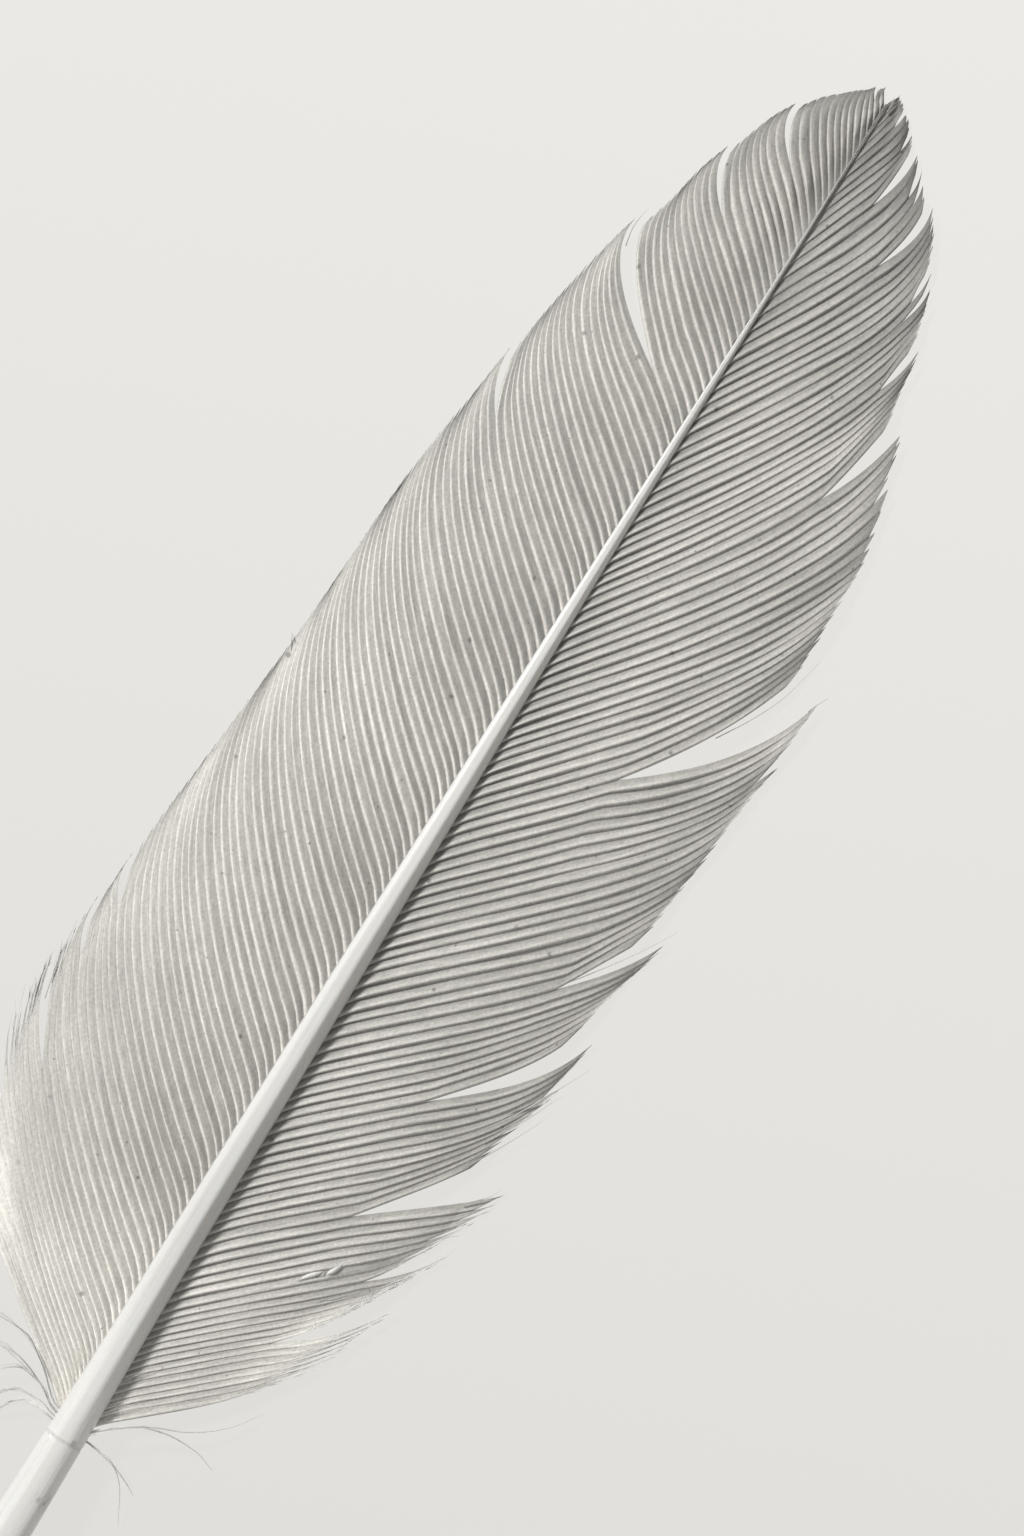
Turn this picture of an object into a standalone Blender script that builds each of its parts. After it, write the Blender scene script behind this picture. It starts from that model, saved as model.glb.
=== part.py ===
"""A goose quill feather, lying on its underside with the smooth side up.

+X runs along the shaft to the tip, +Y to the wider, smoother vane, and +Z up.
The origin is on the table under the shaft, where the vanes begin.
"""

import math

import bmesh
import bpy
from mathutils import Vector

MM = 0.001

# Shaft, in millimetres, against the distance along the feather
VANE_LENGTH = 182.0
SHAFT_WIDTH = (
    (-52, 0.9), (-50.8, 2.3), (-47, 3.9), (-38, 4.8), (-15, 5.2), (0, 4.75), (18, 4.1),
    (46, 3.5), (82, 2.65), (119, 1.5), (156, 0.8), (182, 0.6),
)
UNDERSIDE_HEIGHT = ((-52, 0), (4, 0), (40, 1.9), (85, 3.2), (130, 2.3), (165, 0.7), (182, 0))
SIDEWAYS_BOW = 0.58
SECTION_ANGLES = (-65, -40, -12, 15, 42, 66, 90, 114, 138, 165, 192, 220, 245)
FLAT_DEPTH = math.sin(math.radians(65))
SHAFT_STATIONS = (
    -52, -50.8, -49, -47, -43, -38, -28, -15, 4, 11, 19,
    30, 46, 64, 82, 100, 119, 138, 156, 170, 181,
)

# Vanes, in millimetres
VANE_THICKNESS = 0.5
DROOP_POWER = 1.8
LOCK_RIDGE = 0.32
LOCK_STEPS = (0, 0.14, 0.28, 0.42, 0.54, 0.66, 0.76, 0.85, 0.93, 1)
NOTCH_START = 0.93
NOTCH_SHIFT = 0.3
NEAR_CORNER_REACH = 0.955
RIDGE_REACH = 0.985
STRAIGHT_SHARE = 0.55
SWEEP_SHARE = 0.22
FIRST_ROOT = 2.0
LAST_ROOT = 178.0

# Each slit: its root, where along a barb it opens, how far the lock below bends away half-way and at
# its tip, the same for the lock above, how far along the shaft the bend fades, and how much further
# the lower tip reaches
LEFT = {
    "name": "left_vane",
    "side": 1,
    "locks": 36,
    "margin": (
        (8, 16), (18, 24.2), (29, 28.8), (45, 29.8), (59, 28.4), (96, 25.1), (114, 24.2),
        (133, 21.6), (151, 18.3), (160, 15.2), (170, 11.4), (176, 8.0), (179.5, 4.2), (182, 1.0),
    ),
    "root_angle": (
        (2, 66), (6, 58), (18, 51), (75, 50.5), (133, 51), (144, 48), (156, 43), (167, 31), (178, 16),
    ),
    "tip_angle": ((2, 48), (18, 20), (35, 4), (120, 2), (140, -2), (156, -8), (167, -12), (178, -10)),
    "advance": (
        (2, 20), (6, 30), (18, 34.5), (47, 36), (75, 33), (110, 25.5), (144, 17.2), (167, 11.7), (179, 2),
    ),
    "margin_height": ((0, 2.0), (30, 1.1), (66, 0.26), (92, 0.26), (130, 1.0), (160, 0.9), (182, 0.3)),
    "slits": (
        (12.1, 0.58, 0.45, 0.1, 0.8, 0.5, 6, 0.02),
        (19, 0.75, 0.3, 0.1, 0.3, 0.3, 6, 0.02),
        (25.4, 0.70, 0.3, 0.0, 0.3, 0.35, 7, 0.01),
        (106, 0.63, 0.6, 0.5, 0.35, 0.1, 7, 0.0),
        (134.5, 0.20, 0.9, 0.0, 0.9, 1.1, 11, 0.03),
        (150, 0.48, 0.15, 0.05, 0.5, 0.5, 8, 0.0),
        (161, 0.38, 0.1, 0.1, 0.55, 0.6, 7, 0.0),
    ),
}
RIGHT = {
    "name": "right_vane",
    "side": -1,
    "locks": 32,
    "margin": (
        (8, 10.5), (11, 13.3), (20, 19.5), (28.5, 22.8), (37, 24.5), (50, 26), (71, 27.8), (100, 28.7),
        (117, 28.2), (133, 26.2), (151, 20.8), (160, 17.6), (170, 12.8), (179, 4.5), (182, 0.8),
    ),
    "root_angle": (
        (2, 46), (26, 45), (55, 46.5), (84.5, 43.5), (111, 37.5), (147, 31), (167, 18), (178, 12),
    ),
    "tip_angle": (
        (2, 52), (12, 44), (26, 36), (45, 22), (60, 17), (84, 16), (111, 8), (147, -10), (167, -14),
        (178, -14),
    ),
    "advance": (
        (2, 10), (3, 16.9), (7.5, 21), (26, 25), (55, 30), (84.5, 35.4), (111, 37.4), (133, 32.2),
        (157, 20.1), (167, 13), (179, 2),
    ),
    "margin_height": ((0, 1.8), (25, 0.9), (52, 0.26), (78, 0.26), (120, 0.9), (160, 0.8), (182, 0.3)),
    "slits": (
        (8.4, 0.48, 0.3, 0.3, 0.5, 1.5, 6, 0.05),
        (15, 0.70, 0.2, 0.4, 0.3, 0.8, 5, 0.05),
        (24, 0.43, 0.5, 0.3, 1.2, 2.2, 9, 0.08),
        (40.2, 0.39, 0.3, 0.3, 0.8, 1.6, 9, 0.08),
        (53.4, 0.59, 0.2, 1.0, 0.8, 1.0, 8, 0.06),
        (82.1, 0.35, 1.7, 1.1, 0.6, 1.6, 13, 0.04),
        (110.5, 0.63, 0.3, 0.0, 0.6, 1.6, 9, 0.02),
        (121, 0.86, 0.1, 0.3, 0.2, 0.3, 6, 0.0),
        (129, 0.88, 0.1, 0.3, 0.2, 0.3, 6, 0.0),
        (146.4, 0.54, 0.25, 0.1, 0.35, 0.7, 8, 0.02),
        (157.4, 0.48, 0.15, 0.0, 0.5, 0.8, 8, 0.0),
    ),
}

# Loose barbs at the foot of the vanes: points along each one, in millimetres
LOOSE_BARBS = (
    ((1.5, -1.2, 2.4), (5.7, -7.6, 2.2), (8.4, -13.1, 1.2), (14.1, -18.3, 0.6)),
    ((1.0, -1.0, 2.2), (5.0, -6.6, 1.8), (6.1, -11.3, 1.2), (5.9, -14.5, 0.7), (4.9, -16.7, 0.5)),
    ((0.2, -1.0, 2.0), (1.1, -4.5, 1.6), (-0.6, -7.4, 1.0), (-2.6, -9.0, 0.6), (-5.8, -10.4, 0.5)),
    ((2.0, 1.0, 2.4), (4.0, 5.5, 2.2), (8.0, 13.5, 1.4), (14.0, 18.5, 0.6)),
    ((1.2, 1.0, 2.3), (4.2, 6.8, 1.9), (4.6, 11.5, 1.2), (2.0, 15.5, 0.6)),
    ((0.2, 1.0, 2.1), (2.2, 5.0, 1.6), (1.6, 9.0, 1.0), (-1.5, 12.0, 0.5)),
)
LOOSE_ROOT_RADIUS = 0.5
LOOSE_TIP_RADIUS = 0.25
LOOSE_STEPS = 9
LOOSE_SIDES = 6


def clear_scene():
    for obj in list(bpy.data.objects):
        bpy.data.objects.remove(obj)


def along(points, place):
    """The height at a place of the smooth curve through the points, with no overshoot."""
    if place <= points[0][0]:
        return points[0][1]
    if place >= points[-1][0]:
        return points[-1][1]
    last = len(points) - 1
    rises = [(b[1] - a[1]) / (b[0] - a[0]) for a, b in zip(points, points[1:])]

    def slope(i):
        if i in (0, last):
            return rises[0] if i == 0 else rises[-1]
        before, after = rises[i - 1], rises[i]
        return 2 * before * after / (before + after) if before * after > 0 else 0

    i = max(k for k in range(last) if points[k][0] <= place)
    run = points[i + 1][0] - points[i][0]
    s = (place - points[i][0]) / run
    return (
        (1 + 2 * s) * (1 - s) ** 2 * points[i][1]
        + s * (1 - s) ** 2 * run * slope(i)
        + s * s * (3 - 2 * s) * points[i + 1][1]
        + s * s * (s - 1) * run * slope(i + 1)
    )


def shaft_radius(x):
    return along(SHAFT_WIDTH, x) / 2


def shaft_axis(x):
    """The middle of the shaft's section: how far to the side, and how high."""
    sideways = SIDEWAYS_BOW * math.sin(math.pi * min(max(x, 0), VANE_LENGTH) / VANE_LENGTH)
    return sideways, along(UNDERSIDE_HEIGHT, x) + FLAT_DEPTH * shaft_radius(x)


def barb_point(vane, root, t):
    """A barb leaves the shaft straight and sweeps round to meet the margin at its own angle."""
    tip = min(root + along(vane["advance"], root), VANE_LENGTH)
    start = root, 0.3 * shaft_radius(root)
    end = tip, along(vane["margin"], tip)
    length = math.hypot(end[0] - start[0], end[1] - start[1])
    leaving = math.radians(along(vane["root_angle"], root))
    arriving = math.radians(along(vane["tip_angle"], root))
    out, back = STRAIGHT_SHARE * length, SWEEP_SHARE * length
    near = start[0] + out * math.cos(leaving), start[1] + out * math.sin(leaving)
    far = end[0] - back * math.cos(arriving), end[1] - back * math.sin(arriving)
    weights = (1 - t) ** 3, 3 * t * (1 - t) ** 2, 3 * t * t * (1 - t), t**3
    return [sum(w * p[i] for w, p in zip(weights, (start, near, far, end))) for i in (0, 1)]


def nearness(slit, root, lower):
    """How strongly a slit bends a barb: 1 beside it, fading to 0, and negative for the lock below."""
    fade = max(1 - abs(root - slit[0]) / slit[6], 0) ** 2
    return -fade if root < slit[0] or (root == slit[0] and lower) else fade


def placed(vane, root, t, lower=True):
    """A point of a barb after the slits have bent it aside, as distances along and across."""
    slits = [(slit, nearness(slit, root, lower)) for slit in vane["slits"]]
    longer = sum(slit[7] * -near for slit, near in slits if near < 0)
    x, y = barb_point(vane, root, t * (1 + longer))
    ahead = barb_point(vane, root, t + 0.01)
    behind = barb_point(vane, root, t - 0.01)
    run = math.hypot(ahead[0] - behind[0], ahead[1] - behind[1])
    across = (ahead[1] - behind[1]) / run, (behind[0] - ahead[0]) / run
    for slit, near in slits:
        opened = max(t - slit[1], 0) / (1 - slit[1])
        middle, end = slit[2:4] if near < 0 else slit[4:6]
        bend = near * (middle * 4 * opened * (1 - opened) + end * opened**2)
        x += bend * across[0]
        y += bend * across[1]
    return x, y


def on_vane(vane, x, y, raised=0.0):
    """The place on the drooping surface of a vane, in metres."""
    sideways, root_height = shaft_axis(x)
    share = min(y / along(vane["margin"], x), 1)
    drop = root_height - along(vane["margin_height"], x)
    height = root_height - drop * share**DROOP_POWER
    return Vector((x, sideways + vane["side"] * y, height + raised)) * MM


def lock_roots(vane):
    """Where the locks meet at the shaft: evenly along it, moved onto the slits."""
    step = (LAST_ROOT - FIRST_ROOT) / vane["locks"]
    roots = [FIRST_ROOT + step * i for i in range(vane["locks"] + 1)]
    for slit in vane["slits"]:
        nearest = min(range(1, vane["locks"]), key=lambda i: abs(roots[i] - slit[0]))
        roots[nearest] = slit[0]
    return roots


def notch_row(vane, root):
    """The last step that two neighbouring locks share."""
    opens = min([s[1] for s in vane["slits"] if s[0] == root], default=NOTCH_START)
    return min(range(1, len(LOCK_STEPS) - 1), key=lambda k: abs(LOCK_STEPS[k] - opens))


def edge_column(mesh, vane, root, lower, shared):
    """The points of a lock's edge. Up to the notch they are the neighbour's too."""
    row = notch_row(vane, root)
    opens = LOCK_STEPS[row]
    column = list(shared[: row + 1])
    for t in LOCK_STEPS[len(column) :]:
        open_share = max(t - opens, 0) / (1 - opens)
        reach = 1 if lower else 1 - (1 - NEAR_CORNER_REACH) * open_share
        x, y = placed(vane, root, t * reach, lower)
        x += (-NOTCH_SHIFT if lower else NOTCH_SHIFT) * open_share
        column.append(mesh.verts.new(on_vane(vane, x, y)))
    return column


def ridge_column(mesh, vane, root):
    """The points down the middle of a lock, which is slightly raised."""
    column = []
    for t in LOCK_STEPS:
        x, y = placed(vane, root, t * RIDGE_REACH)
        raised = LOCK_RIDGE * math.sin(math.pi * min(t, 0.999)) ** 0.5
        column.append(mesh.verts.new(on_vane(vane, x, y, raised)))
    return column


def add_strip(mesh, first, second):
    for a, b, c, d in zip(first, second, second[1:], first[1:]):
        mesh.faces.new((a, b, c, d))


def build_vane(vane):
    """One vane: locks side by side, grown together down to the notches between their tips."""
    mesh = bmesh.new()
    roots = lock_roots(vane)
    above = edge_column(mesh, vane, roots[0], False, [])
    for near, far in zip(roots, roots[1:]):
        ridge = ridge_column(mesh, vane, (near + far) / 2)
        below = edge_column(mesh, vane, far, True, [])
        add_strip(mesh, above, ridge)
        add_strip(mesh, ridge, below)
        if far != roots[-1]:
            above = edge_column(mesh, vane, far, False, below[: notch_row(vane, far) + 1])
    if vane["side"] < 0:
        bmesh.ops.reverse_faces(mesh, faces=mesh.faces)
    obj = add_object(vane["name"], mesh)
    sheet = obj.modifiers.new("thickness", "SOLIDIFY")
    sheet.thickness = VANE_THICKNESS * MM
    sheet.offset = 0
    return obj


def add_object(name, mesh):
    data = bpy.data.meshes.new(name)
    mesh.to_mesh(data)
    mesh.free()
    obj = bpy.data.objects.new(name, data)
    bpy.context.collection.objects.link(obj)
    return obj


def closed_tube(name, rings):
    """A solid through rings of points that turn the same way."""
    mesh = bmesh.new()
    loops = [[mesh.verts.new(point) for point in ring] for ring in rings]
    count = len(loops[0])
    for one, two in zip(loops, loops[1:]):
        for i in range(count):
            j = (i + 1) % count
            mesh.faces.new((one[i], one[j], two[j], two[i]))
    mesh.faces.new(loops[0][::-1])
    mesh.faces.new(loops[-1])
    bmesh.ops.recalc_face_normals(mesh, faces=mesh.faces)
    return add_object(name, mesh)


def build_shaft():
    rings = []
    for x in SHAFT_STATIONS:
        sideways, height = shaft_axis(x)
        radius = shaft_radius(x)
        angles = [math.radians(angle) for angle in SECTION_ANGLES]
        ring = [(x, sideways + radius * math.cos(a), height + radius * math.sin(a)) for a in angles]
        rings.append([Vector(point) * MM for point in ring])
    return closed_tube("feather", rings)


def build_loose_barb(number, points):
    rings = []
    path = [[(i, point[axis]) for i, point in enumerate(points)] for axis in range(3)]
    for step in range(LOOSE_STEPS):
        share = step / (LOOSE_STEPS - 1)
        place = share * (len(points) - 1)
        middle = Vector([along(axis, place) for axis in path])
        ahead = Vector([along(axis, min(place + 0.05, len(points) - 1)) for axis in path])
        behind = Vector([along(axis, max(place - 0.05, 0)) for axis in path])
        side = (ahead - behind).cross(Vector((0, 0, 1))).normalized()
        up = side.cross(ahead - behind).normalized()
        radius = LOOSE_ROOT_RADIUS + (LOOSE_TIP_RADIUS - LOOSE_ROOT_RADIUS) * share
        angles = [2 * math.pi * i / LOOSE_SIDES for i in range(LOOSE_SIDES)]
        rings.append([(middle + radius * (math.cos(a) * side + math.sin(a) * up)) * MM for a in angles])
    return closed_tube(f"loose_barb_{number}", rings)


def fuse(body, other):
    """Joins another solid to the body and hides the original."""
    union = body.modifiers.new(other.name, "BOOLEAN")
    union.operation = "UNION"
    union.solver = "EXACT"
    union.object = other
    other.hide_render = True
    other.display_type = "WIRE"


def horn_material():
    material = bpy.data.materials.new("feather_horn")
    material.use_nodes = True
    surface = material.node_tree.nodes["Principled BSDF"]
    surface.inputs["Base Color"].default_value = (0.60, 0.59, 0.56, 1)
    surface.inputs["Roughness"].default_value = 0.55
    return material


def build_feather():
    clear_scene()
    feather = build_shaft()
    for vane in (LEFT, RIGHT):
        fuse(feather, build_vane(vane))
    for number, points in enumerate(LOOSE_BARBS):
        fuse(feather, build_loose_barb(number, points))
    feather.data.materials.append(horn_material())
    feather.data.shade_smooth()
    feather.data.set_sharp_from_angle(angle=math.radians(35))


build_feather()
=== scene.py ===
"""The looks of a goose quill feather: barbs, shaft, down, light and camera.

Lengths are in millimetres until a mesh is made. +X runs along the shaft to the tip,
+Y towards the wider and smoother vane, and +Z up from the table.
"""

import math
from collections import namedtuple

import bpy
import numpy as np
from mathutils import Matrix


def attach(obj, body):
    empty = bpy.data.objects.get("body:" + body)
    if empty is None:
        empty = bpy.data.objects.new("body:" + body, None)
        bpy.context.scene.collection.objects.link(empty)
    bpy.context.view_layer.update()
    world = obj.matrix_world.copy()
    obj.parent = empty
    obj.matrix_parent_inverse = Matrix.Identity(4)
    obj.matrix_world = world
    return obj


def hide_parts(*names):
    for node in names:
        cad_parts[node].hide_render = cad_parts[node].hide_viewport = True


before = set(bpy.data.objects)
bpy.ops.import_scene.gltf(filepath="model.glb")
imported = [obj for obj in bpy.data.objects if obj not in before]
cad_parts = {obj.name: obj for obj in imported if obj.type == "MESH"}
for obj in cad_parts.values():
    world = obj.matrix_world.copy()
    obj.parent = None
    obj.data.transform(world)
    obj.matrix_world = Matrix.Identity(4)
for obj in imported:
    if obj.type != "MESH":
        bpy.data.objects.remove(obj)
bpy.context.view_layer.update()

MM = 0.001
FULL_TURN = 2 * math.pi
WAVE_COUNT = 7

# Shaft, against the distance along the feather
VANE_LENGTH = 182
SHAFT_WIDTH = (
    (-52, 0.9), (-50.8, 2.3), (-47, 3.9), (-38, 4.8), (-15, 5.2), (0, 4.75), (18, 4.15),
    (46, 3.65), (82, 2.7), (119, 1.5), (140, 0.93), (160, 0.44), (175, 0.2), (182, 0.12),
)
UNDERSIDE_HEIGHT = ((-52, 0), (4, 0), (40, 1.9), (85, 3.2), (130, 2.3), (165, 0.7), (182, 0.05))
SIDEWAYS_BOW = 0.58
SHAFT_ASIDE = ((0, 0), (30, 0.1), (60, 0.2), (85, 0.27), (120, 0.22), (150, 0.25), (182, 0))
ASIDE_FADES_OVER = 4
FLAT_DEPTH = math.sin(math.radians(65))
SHAFT_LIFT = ((110, 0), (155, 0.22), (168, 0.30), (182, 0.30))
RIDGED_FROM = ((-8, 0), (22, 1))

# The shaft's section in radii: across, and the height of the bare quill and of the ridged rachis.
# A flat strip underneath, full sides, and on the rachis a flattish top with a long facet on the right.
SHAFT_SECTION = (
    (0.42, -0.906, -0.906), (0.66, -0.78, -0.78), (0.84, -0.56, -0.56), (0.95, -0.30, -0.30),
    (0.995, -0.05, -0.05), (0.975, 0.17, 0.18), (0.92, 0.33, 0.36), (0.83, 0.47, 0.49),
    (0.72, 0.575, 0.585), (0.60, 0.655, 0.655), (0.50, 0.70, 0.695), (0.36, 0.74, 0.72),
    (0.20, 0.757, 0.742), (0.04, 0.76, 0.760), (-0.12, 0.76, 0.776), (-0.24, 0.75, 0.775),
    (-0.34, 0.735, 0.72), (-0.46, 0.71, 0.62), (-0.58, 0.665, 0.51), (-0.71, 0.585, 0.395),
    (-0.83, 0.47, 0.27), (-0.93, 0.31, 0.10), (-0.985, 0.10, -0.10), (-0.97, -0.28, -0.36),
    (-0.86, -0.56, -0.60), (-0.66, -0.78, -0.79), (-0.42, -0.906, -0.906),
)
# Rings and small steps in the quill: place, depth as a share of the radius, and half-width
SHAFT_RINGS = ((-0.35, 0.03, 0.22), (-0.05, -0.012, 0.2), (6.7, 0.012, 0.35))
RING_PLACE = SHAFT_RINGS[0][0]

# How the barbs run: the shares of their length that set how straight they leave the shaft and how
# they sweep in to the margin, how they wander, how the vane droops and waves, and the hook at the root
STRAIGHT_SHARE = 0.55
SWEEP_SHARE = 0.22
BARB_DRIFT = 0.45
DROOP_POWER = 1.8
VANE_WAVE = 0.2
ROOT_HOOK_LENGTH = 0.9
FIRST_ROOT = 2
LAST_ROOT = 179.3
NEAR_TIP = ((130, 0), (160, 1))

# Section of one barb: its place across the barb's share of the vane, and its height
LEFT_TOP = (
    (-0.10, -0.06), (-0.05, 0.12), (0, 0.38), (0.05, 0.67), (0.11, 0.92), (0.18, 1), (0.30, 0.86),
    (0.50, 0.50), (0.74, 0.16), (0.96, -0.12),
)
RIGHT_TOP = (
    (-0.08, -0.06), (-0.035, 0.18), (0.02, 0.60), (0.08, 0.91), (0.16, 1), (0.28, 0.84), (0.43, 0.55),
    (0.60, 0.29), (0.78, 0.10), (0.96, -0.12),
)
BARB_UNDER = ((0.05, -0.8), (-0.03, -0.8))
# Where a section starts and ends, against the barb's own share, and its column near the ridge
OVERLAP = 0.10
END_PHASE = 0.96
CREST_COLUMN = 3
BARB_WIDTH = 1.66
WIDER_NEAR_TIP = ((100, 1.1), (160, 1.7))
WIDTH_LIMITS = (0.02, 1.9)
BARB_ROWS = 62
TAPER_POWER = 0.9
LOWEST_UNDER = 0.03
LOWEST_TOP = 0.09
WORN_EDGE = 0.03

# A gap between two barbs: its root, the share of the barbs' length at which it opens, how far the
# barbs below it and above it bend away half-way and at their tips, over how much of the shaft the
# bend fades, how much further the barbs below reach, and how closely they gather into a point
Slit = namedtuple(
    "Slit", "root opens_at below_half_way below_end above_half_way above_end fades_over reach gather"
)
# A barb that has lost its ridge from a share of its length on, and how much darker it is there
Worn = namedtuple("Worn", "root start darker")

# The two vanes. Read against the root's place along the feather: spacing, root_angle, tip_angle,
# advance (how far towards the feather's tip a barb ends), relief_along, whole_until, tip_share,
# raggedness and fringe. Against the place along the feather: margin, margin_height and, as shares,
# line (the strength of the painted shadow line where two barbs meet), ridge_along and grey_along.
# Against the share of a barb's length: relief and grey_and_shade_across (the grey along a barb, on
# the right vane with painted shade beside the shaft). Against the place across a barb: section and
# ridge (the pale ridge, partly the barb's paler shaft and partly a painted highlight). Single values:
# dip is the hollow beside the shaft, hook how far a barb starts back towards the quill, height the
# ridge's against the barb's width, narrowing and tip_spread how the ridge thins out to the margin and
# spreads near the tip, pocket_shadow how deep the painted shadow between ridges beside the shaft is,
# and fluffy the two barb numbers between which the downy look ends.
LEFT = {
    "name": "left",
    "side": 1,
    "seed": 3,
    "last_root": 178.6,
    "spacing": (
        (2, 0.65), (6, 0.85), (10, 1.15), (20, 1.5), (60, 1.64), (85, 1.55), (110, 1.56), (150, 1.45),
        (178, 1.35),
    ),
    "margin": (
        (8, 16), (18, 24.2), (29, 28.8), (45, 29.8), (59, 28.4), (96, 25.1), (114, 24.2),
        (133, 21.6), (151, 18.3), (160, 15.2), (170, 11.4), (176, 8), (179.5, 4.2), (182, 1),
    ),
    "root_angle": (
        (2, 54), (6, 53), (18, 51), (75, 50.5), (133, 51), (144, 48), (156, 43), (167, 34), (178, 26),
    ),
    "tip_angle": (
        (2, 46), (8, 25), (18, 8), (35, 3), (120, 2), (140, -2), (156, -8), (167, -12), (178, -4),
    ),
    "advance": (
        (2, 20), (6, 30), (18, 34.5), (47, 36), (75, 33), (110, 25.5), (144, 17.2), (167, 11),
        (174, 6.6), (179, 2.6),
    ),
    "margin_height": ((0, 2), (30, 1.1), (66, 0.3), (92, 0.3), (130, 1), (160, 0.9), (182, 0.35)),
    "dip": 0.12,
    "relief": (
        (0, 0.7), (0.03, 1.3), (0.10, 1.75), (0.25, 1.5), (0.4, 0.95), (0.6, 0.56), (0.8, 0.32), (1, 0.15),
    ),
    "tip_spread": 0.55,
    "pocket_shadow": 0.22,
    "relief_along": ((2, 0.2), (14, 0.75), (30, 1), (140, 1), (160, 1.2), (178, 1.2)),
    "section": LEFT_TOP,
    "height": 0.243,
    "narrowing": 1.5,
    "hook": 1.1,
    "whole_until": ((2, 0.6), (6, 0.74), (12, 0.88), (18, 0.93), (24, 0.95), (60, 0.96), (182, 0.95)),
    "tip_share": ((2, 0.03), (26, 0.08), (130, 0.12), (150, 0.25), (160, 0.6), (182, 0.85)),
    "raggedness": ((2, 0.03), (12, 0.012), (24, 0.004), (150, 0.004), (182, 0.01)),
    "line": ((0, 0.30), (0.25, 0.24), (0.5, 0.14), (0.8, 0.16), (1, 0.22)),
    "ridge": (
        (0, 0.25), (0.08, 0.8), (0.16, 1), (0.28, 0.85), (0.42, 0.5), (0.62, 0.18), (0.90, 0),
        (1, 0.25),
    ),
    "ridge_gain": 0.54,
    "ridge_along": ((0, 0.4), (0.1, 0.75), (0.25, 1), (1, 1)),
    "plain_base": 0.8,
    "grey_along": (
        (0, 0.90), (0.06, 0.74), (0.2, 0.545), (0.45, 0.50), (0.7, 0.46), (0.88, 0.43), (1, 0.34),
    ),
    "grey_and_shade_across": ((0, 1), (0.12, 0.93), (0.5, 1.06), (0.85, 1.16), (0.96, 1), (1, 0.85)),
    "slits": [Slit(*numbers) for numbers in (
        (12.1, 0.62, 0.3, 0.1, 0.6, 0.5, 8, 0, 0.1),
        (19, 0.78, 0.2, 0.1, 0.3, 0.2, 7, 0.01, 0.1),
        (25.4, 0.78, 0.5, 0, 0.4, 0.1, 9, 0.01, 0.3),
        (106, 0.66, 0.3, 0.3, 0.35, 0.25, 10, 0, 0.3),
        (134.5, 0.20, 0.7, 0, 0.8, 1.1, 14, 0, 0.5),
        (150, 0.45, 0.2, 0.05, 0.4, 0.5, 10, 0, 0.2),
        (161, 0.40, 0.15, 0.1, 0.4, 0.5, 9, 0, 0.2),
        (177, 0.5, 0.05, 0.15, 0.1, 0.3, 3, 0, 0),
    )],
    "fringe": ((2, 3.4), (10, 2.2), (18, 1), (28, 0.5), (60, 0.25), (140, 0.25), (178, 0.4)),
    "worn": (),
    "fluffy": (2, 8),
    "frayed_until": 13,
}
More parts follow.
